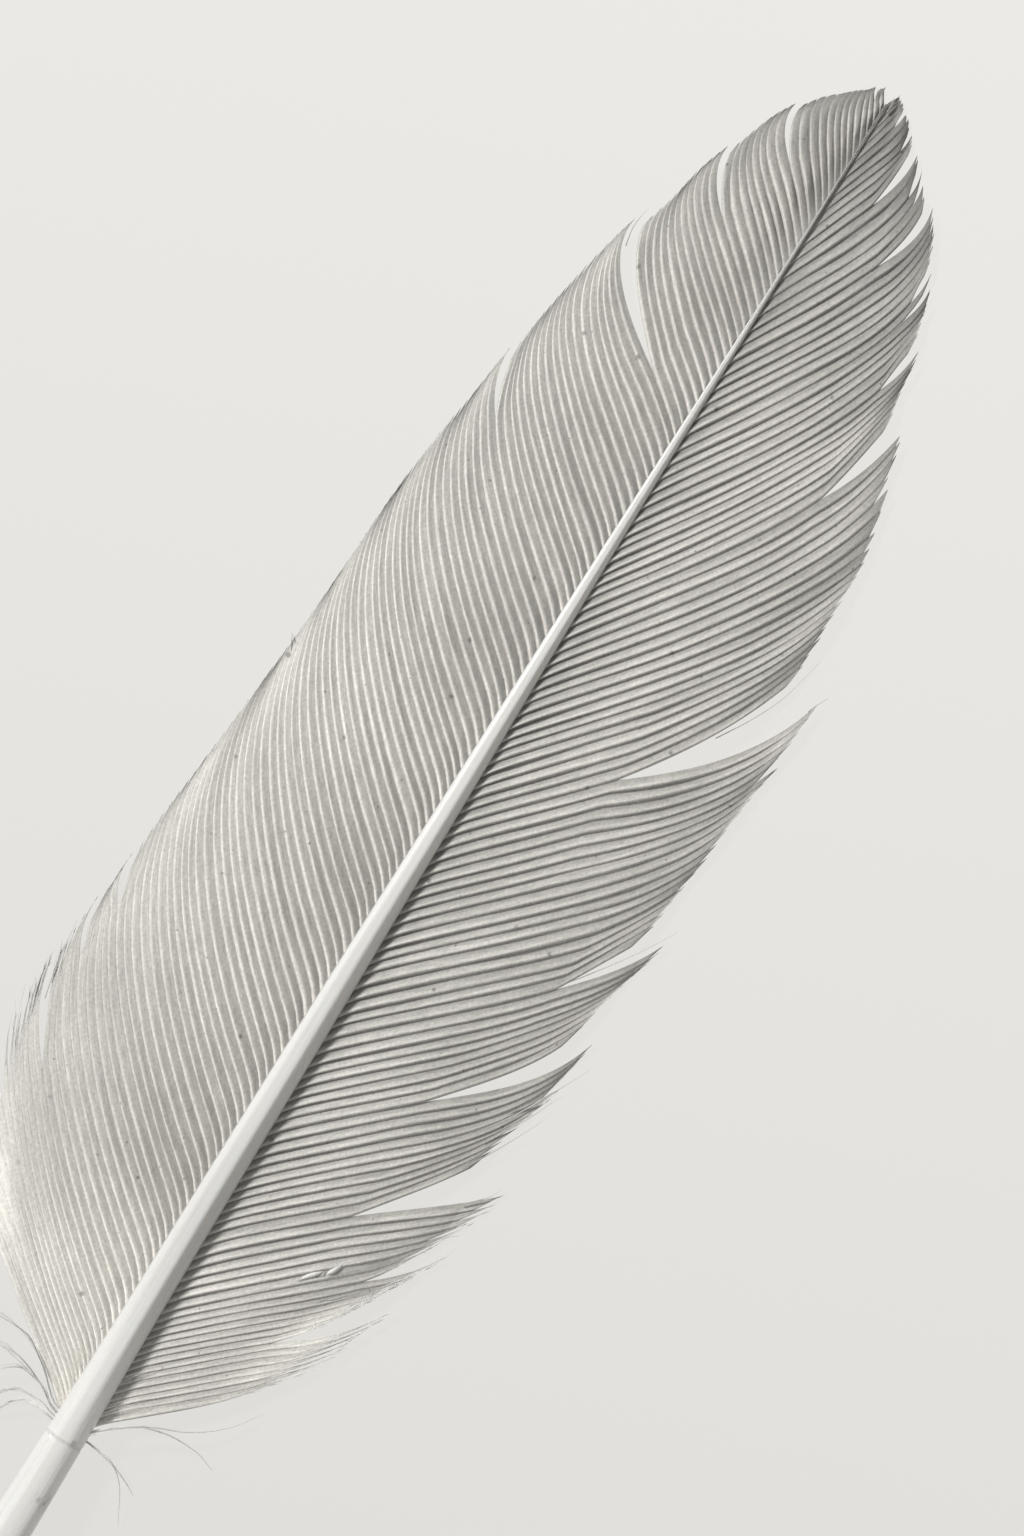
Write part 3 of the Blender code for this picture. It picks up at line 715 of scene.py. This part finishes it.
def frayed_barbules(vane, barbs, rng):
    """Barbules that stand loose beside the thinned ends of the lowest barbs."""
    low = np.flatnonzero(barbs["root"] < vane["frayed_until"])
    i = np.repeat(low, FRAYED_PER_BARB)
    whole = barbs["whole"][i]
    t = whole + (1.0 - whole) * rng.uniform(0.05, 1, len(i))
    side = rng.choice([-1.0, 1.0], len(i))
    foot = barb_surface(vane, barbs, i, 0.05, t)
    ahead = unit(barb_surface(vane, barbs, i, 0.05, t + 0.01) - foot)
    across = level_across(ahead) * side[:, None]
    length = (rng.uniform(0.6, 2.0, len(i)) * (1.15 - 0.5 * (t - whole) / (1 - whole)))[:, None]
    middle = foot + length * 0.5 * (0.2 * across + ahead)
    end = foot + length * (0.16 * across + ahead)
    end[:, 2] -= 0.1
    return hair_tubes(np.stack([foot, middle, end], 1), *FRAYED_RADII)


def loose_barbs(rng):
    """The loose barbs and curls, each curl with a few finer ones beside it, and their barbules."""
    paths, barbules = [], []
    for number, points in enumerate(LOOSE):
        points = np.array(points)
        for copy in range(1 if number < SINGLE_LOOSE else CURL_COPIES):
            apart = np.arange(len(points))[:, None] / len(points) * min(copy, 1)
            spread = rng.normal(0, 0.35, points.shape) * apart
            path = smooth_path(points + spread * (1, 1, 0.4), LOOSE_POINTS)
            paths.append(path)
            ahead = unit(np.gradient(path, axis=0))
            for _ in range(BARBULES_PER_LOOSE):
                k = rng.integers(5, LOOSE_POINTS - 1)
                across = level_across(ahead[k]) * rng.choice([-1, 1])
                length = rng.uniform(0.2, 0.6)
                end = path[k] + length * (0.25 * across + ahead[k])
                barbules.append(np.stack([path[k], (path[k] + end) / 2 + 0.06 * across, end]))
    thick = [LOOSE_RADIUS if n < SINGLE_LOOSE else rng.uniform(*CURL_RADIUS) for n in range(len(paths))]
    strays = [smooth_path(points, 10) for points in STRAY + TUFT]
    stray_thick = [STRAY_RADIUS] * len(STRAY) + [TUFT_RADIUS] * len(TUFT)
    return [
        hair_tubes(paths, thick, 0.03),
        hair_tubes(barbules, *BARBULE_RADII),
        hair_tubes(strays, stray_thick, 0.02),
    ]


def foot_down(rng):
    """Pale down that veils the lowest barbs beside the shaft."""
    paths = []
    for _ in range(FOOT_HAIRS):
        side = rng.choice([1, 1, 1, -1])
        x = rng.uniform(1.0, 9.5)
        y = shaft_radius(x) * 0.85
        angle = math.radians(rng.uniform(47, 60) if side > 0 else rng.uniform(34, 50))
        length = rng.uniform(2.0, 6.0)
        start = np.array([x, y, shaft_height(x) + 0.25])
        ahead = np.array([math.cos(angle), math.sin(angle), rng.uniform(-0.02, 0.10)])
        curl = rng.normal(0, 0.1) - 0.05
        bend = np.array([-math.sin(angle), math.cos(angle), -0.15]) * curl
        share = np.linspace(0, 1, 7)[:, None]
        path = start + length * (share * ahead + share**2 * bend)
        path[:, 1] = shaft_side(path[:, 0]) + side * path[:, 1]
        paths.append(path)
    return hair_tubes(paths, *HAIR_RADII)


def curled_patch():
    """The two rolled-up bits of a damaged barb on the right vane, half sunk in it."""
    paths = []
    for points in CURLED:
        path = smooth_path([(x, y, 0) for x, y in points], 12)
        path[:, 2] = on_vane(RIGHT, path[:, 0], -path[:, 1])[1] - 0.02
        paths.append(path)
    return hair_tubes(paths, 0.05, 0.05, bulge=0.29, sides=12)


def simple_material(name, color, roughness):
    """A material of one colour, which the others build on."""
    material = bpy.data.materials.new(name)
    material.use_nodes = True
    surface = material.node_tree.nodes["Principled BSDF"]
    surface.inputs["Base Color"].default_value = (*color, 1)
    surface.inputs["Roughness"].default_value = roughness
    return material


class Nodes:
    """Short names for the shader nodes that the materials use."""

    def __init__(self, material):
        self.tree = material.node_tree
        self.surface = self.tree.nodes["Principled BSDF"]

    def put(self, value, socket):
        """Links a socket to another one, or sets it to a plain value."""
        if isinstance(value, bpy.types.NodeSocket):
            self.tree.links.new(value, socket)
        elif value is not None:
            socket.default_value = value

    def new(self, kind, **settings):
        node = self.tree.nodes.new(kind)
        for name, value in settings.items():
            setattr(node, name, value)
        return node

    def math(self, operation, a, b=None, c=None):
        node = self.new("ShaderNodeMath", operation=operation)
        for value, socket in zip((a, b, c), node.inputs):
            self.put(value, socket)
        return node.outputs[0]

    def product(self, *values):
        total = values[0]
        for value in values[1:]:
            total = self.math("MULTIPLY", total, value)
        return total

    def rest(self, value):
        """What is left of 1 after a value is taken off."""
        return self.math("SUBTRACT", 1.0, value)

    def vary(self, value, amount, middle=0.5):
        """A factor around 1 that follows a value around its middle."""
        return self.math("MULTIPLY_ADD", self.math("SUBTRACT", value, middle), amount, 1.0)

    def ramp(self, value, low, high, bottom=0.0, top=1.0):
        """From bottom to top, smoothly, as a value goes from low to high."""
        node = self.new("ShaderNodeMapRange", interpolation_type="SMOOTHSTEP")
        for given, socket in zip((value, low, high, bottom, top), node.inputs):
            self.put(given, socket)
        return node.outputs[0]

    def curve(self, value, stops):
        """A grey value that follows the stops."""
        node = self.new("ShaderNodeValToRGB")
        node.color_ramp.interpolation = "EASE"
        elements = node.color_ramp.elements
        while len(elements) < len(stops):
            elements.new(0.5)
        for element, (place, grey) in zip(elements, stops):
            element.position = place
            element.color = (grey, grey, grey, 1)
        self.put(value, node.inputs[0])
        return node.outputs[0]

    def uv(self, name):
        """The two numbers of a UV map."""
        source = self.new("ShaderNodeUVMap", uv_map=name).outputs[0]
        parts = self.new("ShaderNodeSeparateXYZ")
        self.put(source, parts.inputs[0])
        return parts.outputs[0], parts.outputs[1]

    def place(self):
        """Where the point is on the feather, in millimetres."""
        parts = self.new("ShaderNodeSeparateXYZ")
        self.put(self.new("ShaderNodeTexCoord").outputs["Object"], parts.inputs[0])
        return [self.math("MULTIPLY", output, 1 / MM) for output in parts.outputs]

    def vector(self, x, y, z=0.0):
        node = self.new("ShaderNodeCombineXYZ")
        for value, socket in zip((x, y, z), node.inputs):
            self.put(value, socket)
        return node.outputs[0]

    def noise(self, x, y, scales, detail):
        """Soft noise over two values, each multiplied by its own scale."""
        node = self.new("ShaderNodeTexNoise")
        scaled = [self.math("MULTIPLY", value, scale) for value, scale in zip((x, y), scales)]
        self.put(self.vector(*scaled), node.inputs["Vector"])
        node.inputs["Scale"].default_value = 1.0
        node.inputs["Detail"].default_value = detail
        return node.outputs[0]

    def random(self, value):
        node = self.new("ShaderNodeTexWhiteNoise", noise_dimensions="1D")
        self.put(value, node.inputs["W"])
        return node.outputs[0]

    def spot(self, x, y, at, radius):
        """1 at a place, fading to 0 at the radius."""
        far = self.new("ShaderNodeVectorMath", operation="DISTANCE")
        self.put(self.vector(x, y), far.inputs[0])
        far.inputs[1].default_value = (*at, 0)
        return self.ramp(far.outputs["Value"], 0.0, radius, 1.0, 0.0)

    def specks(self, x, y, size, radius, seed):
        """Scattered dots of uneven strength."""
        node = self.new("ShaderNodeTexVoronoi", voronoi_dimensions="2D")
        cell = self.vector(self.math("MULTIPLY_ADD", x, 1 / size, seed), self.math("MULTIPLY", y, 1 / size))
        self.put(cell, node.inputs["Vector"])
        node.inputs["Scale"].default_value = 1.0
        own = self.new("ShaderNodeSeparateColor")
        self.put(node.outputs["Color"], own.inputs[0])
        reach = self.math("MULTIPLY", own.outputs[0], radius / size)
        dot = self.rest(self.math("DIVIDE", node.outputs["Distance"], reach))
        return self.math("MULTIPLY", self.math("MAXIMUM", dot, 0.0), own.outputs[1])

    def tinted(self, tint, grey):
        """Sets the surface's colour to a tint times a grey."""
        node = self.new("ShaderNodeVectorMath", operation="SCALE")
        node.inputs[0].default_value = tint
        self.put(grey, node.inputs["Scale"])
        self.put(node.outputs[0], self.surface.inputs["Base Color"])

    def bump(self, height, distance, strength):
        node = self.new("ShaderNodeBump")
        node.inputs["Strength"].default_value = strength
        node.inputs["Distance"].default_value = distance
        self.put(height, node.inputs["Height"])
        self.put(node.outputs[0], self.surface.inputs["Normal"])

    def subsurface(self, radii, scale):
        """Lets some light into the surface."""
        self.surface.inputs["Subsurface Weight"].default_value = 0.5
        self.surface.inputs["Subsurface Radius"].default_value = radii
        self.surface.inputs["Subsurface Scale"].default_value = scale


def pale_ridge_and_highlight(n, vane, t, x, station, across):
    """How much the pale ridge of a barb shows: partly the barb's own paler shaft, partly a painted
    highlight along it.
    """
    thinner = n.product(n.ramp(t, 0.1, 0.9, 0.0, vane["narrowing"]), n.ramp(x, 130, 160, 1.0, 0.0))
    thinner = n.math("SUBTRACT", thinner, n.ramp(x, 130, 165, 0.0, 0.45))
    plain = n.product(n.ramp(t, 0.16, 0.5, 0.0, vane["plain_base"]), n.ramp(x, 25, 85, 1.0, 0.0))
    near_tip = n.ramp(x, 145, 170)
    return n.product(
        n.math("POWER", n.curve(across, vane["ridge"]), n.math("ADD", thinner, 1.0)),
        n.ramp(t, 0.1, 0.4, 1.3, 1.0),
        n.ramp(t, 0.2, 0.95, 1.0, 0.5),
        n.ramp(t, 0.72, 0.97, 1.0, 0.3),
        n.curve(station, vane["ridge_along"]),
        n.rest(plain),
        n.rest(n.product(near_tip, n.ramp(t, 0.5, 0.85, 0.0, 0.8))),
        n.rest(n.product(near_tip, n.ramp(t, 0.05, 0.3, 0.6, 0.0))),
    )


def specks_and_painted_shade(n, x, y):
    """Dark specks all over, a small dark spot by the tuft on the left margin, and painted shade over
    a lock's tip on the right margin.
    """
    shaky = n.math("MULTIPLY_ADD", n.noise(x, y, (3.0, 3.0), 2.0), 0.7, x)
    dots = n.math("ADD", n.specks(shaky, y, 9.0, 0.42, 0.3), n.specks(shaky, y, 4.0, 0.2, 7.7))
    for at, radius, strength in MARGIN_SPOTS:
        dots = n.math("MULTIPLY_ADD", n.spot(x, y, at, radius), strength, dots)
    return n.math("MINIMUM", n.product(dots, 0.9), 0.5)


def crack(n, x, t, across, start):
    """A thin dark line that wanders across a worn barb just before its worn part."""
    wander = n.math("MULTIPLY_ADD", n.noise(x, 0.5, (1.0, 1.0), 2.0), 0.9, 0.1)
    line = n.math("ABSOLUTE", n.math("SUBTRACT", across, wander))
    return n.product(
        n.ramp(line, 0.03, 0.13, 0.5, 0.0),
        n.ramp(t, start - 0.12, start - 0.09),
        n.ramp(t, start, start + 0.04, 1.0, 0.0),
    )


def barb_material(vane, barbs):
    """Pale barbs between grey bands of barbules, greyer towards the tip and the margin. The pale
    ridges are partly painted highlight; painted shadow lines run where barbs meet, and painted shade
    lies beside the shaft.
    """
    material = simple_material("barbs_" + vane["name"], (0.55, 0.53, 0.50), 0.6)
    n = Nodes(material)
    t, number = n.uv("barb")
    length, width = n.uv("strand")
    x, y, _ = n.place()
    station = n.math("DIVIDE", x, VANE_LENGTH)
    across = n.math("FRACT", number)
    barb = n.math("FLOOR", number)
    own = n.random(barb)
    worn_barbs = [
        (worn, n.math("COMPARE", barb, float(nearest_barb(barbs, worn.root)), 0.5))
        for worn in vane["worn"]
    ]

    # The pale ridge of each barb: partly its paler shaft, partly a painted highlight
    ridge = pale_ridge_and_highlight(n, vane, t, x, station, across)
    for worn, this in worn_barbs:
        ridge = n.product(ridge, n.rest(n.product(this, n.ramp(t, worn.start, worn.start + WORN_EDGE))))
    fluffy = n.product(n.ramp(t, 0.35, 0.65), n.ramp(number, *vane["fluffy"], 1.0, 0.0))
    # Painted shadow lines where two barbs meet, as strong along the feather as line says
    seam_shadow = n.product(n.curve(across, SEAM_SHADOW), n.curve(station, vane["line"]), n.rest(fluffy))
    # Painted shadow between the ridges next to the shaft, fading out along the barbs and near the tip
    pocket_shadow_depth = n.ramp(t, 0.01, 0.10, vane["pocket_shadow"], 0.0)
    pocket_shadow = n.product(n.curve(across, POCKET), pocket_shadow_depth, n.ramp(x, 140, 165, 1.0, 0.0))

    slant = n.math("MULTIPLY_ADD", length, 6.0, n.product(across, 3.4))
    hatch = n.noise(slant, n.math("MULTIPLY_ADD", number, 0.9, own), (1.0, 1.0), 1.0)
    hatch = n.product(n.math("SUBTRACT", hatch, 0.5), n.ramp(t, 0.1, 0.6, 0.7, 1.3))
    fibres = n.noise(length, number, (0.5, 4.5), 3.0)
    streaks = n.noise(length, number, (0.07, 1.3), 2.0)
    clouds = n.noise(x, y, (0.06, 0.06), 2.0)
    grain = n.noise(x, y, (2.6, 2.6), 3.0)
    # The grey across each barb holds the right vane's painted shade beside the shaft; even_ends lifts it
    # near the foot and the tip
    even_ends = n.math("ADD", n.ramp(x, 6.0, 18.0, 0.9, 0.0), n.ramp(x, 146.0, 162.0, 0.0, 0.95))
    grey = n.product(
        n.curve(station, vane["grey_along"]),
        n.math("MAXIMUM", n.curve(t, vane["grey_and_shade_across"]), even_ends),
        n.vary(own, 0.10),
        n.vary(streaks, 0.35),
        n.vary(fibres, 0.65),
        n.vary(clouds, 0.30),
        n.vary(grain, 0.55),
        n.vary(hatch, 0.12, 0.0),
        n.ramp(width, 0.1, 0.5, 0.86, 1.0),
        n.math("MULTIPLY_ADD", fluffy, 0.42, 1.0),
        n.rest(seam_shadow),
        n.rest(pocket_shadow),
        n.math("MULTIPLY_ADD", ridge, vane["ridge_gain"], 1.0),
        n.rest(specks_and_painted_shade(n, x, y)),
    )
    for worn, this in worn_barbs:
        patch = n.product(this, n.ramp(t, worn.start, worn.start + 0.08))
        grey = n.product(
            grey,
            n.math("MULTIPLY_ADD", patch, -worn.darker, 1.0),
            n.rest(n.product(this, crack(n, x, t, across, worn.start))),
        )
    n.tinted(WARM, grey)
    n.bump(n.math("MULTIPLY_ADD", hatch, 0.15, fibres), 0.00004, 0.6)
    return material


def shaft_material():
    """Pale, faintly streaked horn that turns grey where the shaft thins out, with painted light and
    shade round it: darker underneath and up the left side, lightest over the top and right shoulder.
    """
    material = simple_material("horn", (0.80, 0.79, 0.755), 0.36)
    n = Nodes(material)
    n.subsurface((1.0, 0.92, 0.8), 0.0016)
    _, around = n.uv("around")
    x, y, _ = n.place()
    streaks = n.noise(x, around, (0.05, 26.0), 3.0)
    grain = n.noise(x, y, (1.4, 5.0), 2.0)
    bare = n.ramp(x, 0.0, 26.0, 1.0, 0.0)
    # Painted light and shade round the shaft, for the rachis and the bare quill, blended into sides
    ridged_painted_shade = n.curve(around, RACHIS_PAINTED_SHADE)
    round_painted_shade = n.product(n.curve(around, QUILL_PAINTED_SHADE), QUILL_GAIN)
    sides = n.math("MULTIPLY_ADD", bare, n.math("SUBTRACT", round_painted_shade, ridged_painted_shade), ridged_painted_shade)
    ring = n.ramp(n.math("ABSOLUTE", n.math("SUBTRACT", x, RING_PLACE)), 0.05, 0.35, 1.0, 0.0)
    ring = n.product(ring, n.ramp(grain, 0.35, 0.6, 0.05, 0.22))
    ring_stain = n.product(n.spot(x, y, (0.15, -1.2), 0.55), 0.35)
    scuff = n.product(n.spot(x, y, (-7.4, -1.7), 1.8), n.ramp(grain, 0.4, 0.65, 0.0, 0.4))
    marks = n.math("ADD", ring, n.math("ADD", ring_stain, scuff))
    grey = n.product(
        n.curve(n.math("DIVIDE", x, VANE_LENGTH), SHAFT_GREY),
        sides,
        n.vary(streaks, 0.16),
        n.vary(grain, 0.07),
        n.rest(marks),
    )
    n.tinted(HORN_TINT, grey)
    n.bump(n.math("ADD", streaks, grain), 0.00006, 0.5)
    return material


def down_material():
    """Fine pale hairs, a little uneven, palest near the shaft and at the torn lower right ends."""
    material = simple_material("down", (0.42, 0.41, 0.385), 0.7)
    n = Nodes(material)
    n.subsurface((1.0, 0.95, 0.9), 0.0006)
    x, y, _ = n.place()
    pale = n.product(n.ramp(x, 14.0, 20.0), n.ramp(x, 38.0, 44.0, 1.0, 0.0))
    grey = n.product(
        n.curve(n.math("DIVIDE", x, VANE_LENGTH), DOWN_GREY),
        n.vary(n.noise(x, y, (0.8, 0.8), 3.0), 0.5),
        n.math("MAXIMUM", n.ramp(n.math("ABSOLUTE", y), 4.0, 9.0, 1.0, 0.55), pale),
    )
    n.tinted(DOWN_TINT, grey)
    return material


def dress(obj, material):
    """Gives a piece its material and sets it in place of the feather's solid."""
    obj.data.materials.append(material)
    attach(obj, "root")
    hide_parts("feather")


def build_stage():
    """Pale paper with a little light of its own, as even as the photo's background."""
    half = FLOOR_HALF
    corners = [(-half, -half, 0), (half, -half, 0), (half, half, 0), (-half, half, 0)]
    mesh = bpy.data.meshes.new("floor")
    mesh.from_pydata(corners, [], [(0, 1, 2, 3)])
    floor = bpy.data.objects.new("floor", mesh)
    bpy.context.scene.collection.objects.link(floor)
    paper = simple_material("pale_paper", (0.03, 0.0298, 0.0287), 0.95)
    n = Nodes(paper)
    n.surface.inputs["Emission Color"].default_value = (1.0, 0.988, 0.948, 1)
    x, y, _ = n.place()
    slope = n.math("MULTIPLY_ADD", y, GLOW_SLOPE[1], n.product(x, GLOW_SLOPE[0]))
    slope = n.math("MAXIMUM", n.math("MINIMUM", slope, GLOW_LIMITS[1]), GLOW_LIMITS[0])
    n.put(n.math("ADD", slope, GLOW), n.surface.inputs["Emission Strength"])
    floor.data.materials.append(paper)


def set_axes(obj, side, up, back, place):
    """Sets an object at a place in metres, with its own X, Y and Z along side, up and back."""
    rows = np.column_stack([side, up, back, place]).tolist()
    obj.matrix_world = Matrix([*rows, (0, 0, 0, 1)])


def build_lights():
    """A soft light from the left vane's side, and even light all round."""
    data = bpy.data.lights.new("key", "AREA")
    data.shape = "DISK"
    data.size = KEY_SIZE
    data.energy = KEY_POWER
    data.color = (1.0, 0.997, 0.985)
    key = bpy.data.objects.new("key", data)
    bpy.context.scene.collection.objects.link(key)
    back = unit(np.subtract(KEY_PLACE, KEY_TARGET))
    side = unit(np.cross([0, 0, 1], back))
    set_axes(key, side, np.cross(back, side), back, KEY_PLACE)
    world = bpy.data.worlds.new("studio")
    world.use_nodes = True
    background = world.node_tree.nodes["Background"]
    background.inputs["Color"].default_value = (1.0, 0.998, 0.985, 1)
    background.inputs["Strength"].default_value = 0.30
    bpy.context.scene.world = world


def build_camera():
    """Straight above, turned so that the shaft runs up to the right, framed as the photo."""
    data = bpy.data.cameras.new("camera")
    data.lens = LENS
    data.sensor_width = SENSOR
    data.clip_start = 0.01
    data.clip_end = 20
    camera = bpy.data.objects.new("camera", data)
    bpy.context.scene.collection.objects.link(camera)
    right = (math.cos(CAMERA_TURN), -math.sin(CAMERA_TURN), 0)
    up = (math.sin(CAMERA_TURN), math.cos(CAMERA_TURN), 0)
    distance = PHOTO_HEIGHT * PIXEL * LENS / SENSOR + SCALE_HEIGHT
    set_axes(camera, right, up, (0, 0, 1), np.array((*PICTURE_MIDDLE, distance)) * MM)
    bpy.context.scene.camera = camera


def main():
    rng = np.random.default_rng(77)
    dress(build_shaft(), shaft_material())
    hairs = loose_barbs(rng) + [foot_down(rng), curled_patch()]
    for vane in (LEFT, RIGHT):
        barbs = plan_barbs(vane)
        dress(build_vane(vane, barbs), barb_material(vane, barbs))
        hairs += [margin_fringe(vane, barbs, rng), frayed_barbules(vane, barbs, rng)]
    dress(make_object("down", *join(hairs)), down_material())
    build_stage()
    build_lights()
    build_camera()
    bpy.context.scene.view_settings.view_transform = "Standard"
    bpy.context.scene.view_settings.look = "None"


main()
